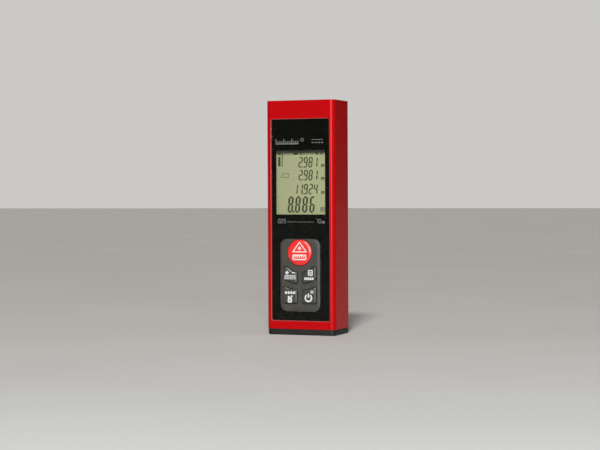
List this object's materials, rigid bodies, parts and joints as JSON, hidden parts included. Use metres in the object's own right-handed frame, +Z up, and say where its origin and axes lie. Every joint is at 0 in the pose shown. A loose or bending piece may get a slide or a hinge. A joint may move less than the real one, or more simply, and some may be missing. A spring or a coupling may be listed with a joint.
{
  "type": "laser distance meter",
  "caption": "Pocket laser distance meter: red anodised sleeve, glossy black front with display and keypad, optics in the top end, hinged battery door at the back.",
  "frame": {"origin": "centre of the bounding box's underside, on the plane that the meter stands on", "axes": "+Z up along the meter's length, +X to the right as the display is read, +Y from the display side to the battery door side"},
  "size_m": [0.0374, 0.024, 0.12],
  "materials": {
    "red_sleeve": "red anodised, satin",
    "black_plastic": "moulded black, fine texture",
    "clear_window": "clear acrylic, polished",
    "gloss_black": "black print on film",
    "grey_rubber": "matt silicone",
    "grey_key": "matt, soft sheen",
    "red_key": "satin red",
    "spring_steel": "bright",
    "nickel_steel": "nickel plated",
    "brass_metal": "turned",
    "circuit_board": "green solder mask",
    "display_glass": "grey green liquid crystal panel",
    "white_plastic": "white light guide",
    "optical_glass": "coated",
    "chip_resin": "moulded resin",
    "cell_jacket": "printed jacket, plain"
  },
  "bodies": {
    "case": {"sleeve": "red_sleeve", "bottom_cap": "black_plastic", "top_cap": "black_plastic", "chassis": "black_plastic", "front_window": "clear_window", "window_mask": "gloss_black", "front_frame": "black_plastic", "keypad_mat": "grey_rubber", "dome_measure": "spring_steel", "dome_plus_minus": "spring_steel", "dome_reference": "spring_steel", "dome_function": "spring_steel", "dome_power": "spring_steel", "lcd_front_glass": "display_glass", "lcd_rear_glass": "display_glass", "lcd_diffuser": "white_plastic", "lcd_connector": "grey_rubber", "main_board": "circuit_board", "board_screw_1": "nickel_steel", "board_screw_2": "nickel_steel", "board_screw_3": "nickel_steel", "board_screw_4": "nickel_steel", "main_chip": "chip_resin", "sounder": "brass_metal", "cap_screw_1": "nickel_steel", "cap_screw_2": "nickel_steel", "contact_bridge": "nickel_steel", "contact_positive": "nickel_steel", "contact_negative": "nickel_steel", "spring_left": "spring_steel", "spring_right": "spring_steel", "battery_left": "cell_jacket", "battery_right": "cell_jacket", "optics_block": "black_plastic", "receiver_lens": "optical_glass", "lens_ring": "black_plastic", "detector": "nickel_steel", "detector_board": "circuit_board", "laser_barrel": "brass_metal", "laser_diode": "nickel_steel", "collimator_lens": "optical_glass", "emitter_window": "optical_glass"},
    "measure_button": {"key_measure": "red_key"},
    "plus_minus_button": {"key_plus_minus": "grey_key"},
    "reference_button": {"key_reference": "grey_key"},
    "function_button": {"key_function": "grey_key"},
    "power_button": {"key_power": "grey_key"},
    "door": {"battery_door": "black_plastic"}
  },
  "joints": [
    {"name": "measure_press", "type": "slide", "parent": "case", "child": "measure_button", "axis": [0, 1, 0], "range_m": [0, 0.0005], "stiffness_N_per_m": 1500},
    {"name": "plus_minus_press", "type": "slide", "parent": "case", "child": "plus_minus_button", "axis": [0, 1, 0], "range_m": [0, 0.0005], "stiffness_N_per_m": 1200},
    {"name": "reference_press", "type": "slide", "parent": "case", "child": "reference_button", "axis": [0, 1, 0], "range_m": [0, 0.0005], "stiffness_N_per_m": 1200},
    {"name": "function_press", "type": "slide", "parent": "case", "child": "function_button", "axis": [0, 1, 0], "range_m": [0, 0.0005], "stiffness_N_per_m": 1200},
    {"name": "power_press", "type": "slide", "parent": "case", "child": "power_button", "axis": [0, 1, 0], "range_m": [0, 0.0005], "stiffness_N_per_m": 1200},
    {"name": "door_swing", "type": "hinge", "parent": "case", "child": "door", "pos_m": [0, 0.0112, 0.00935], "axis": [-1, 0, 0], "range_deg": [0, 55]}
  ]
}
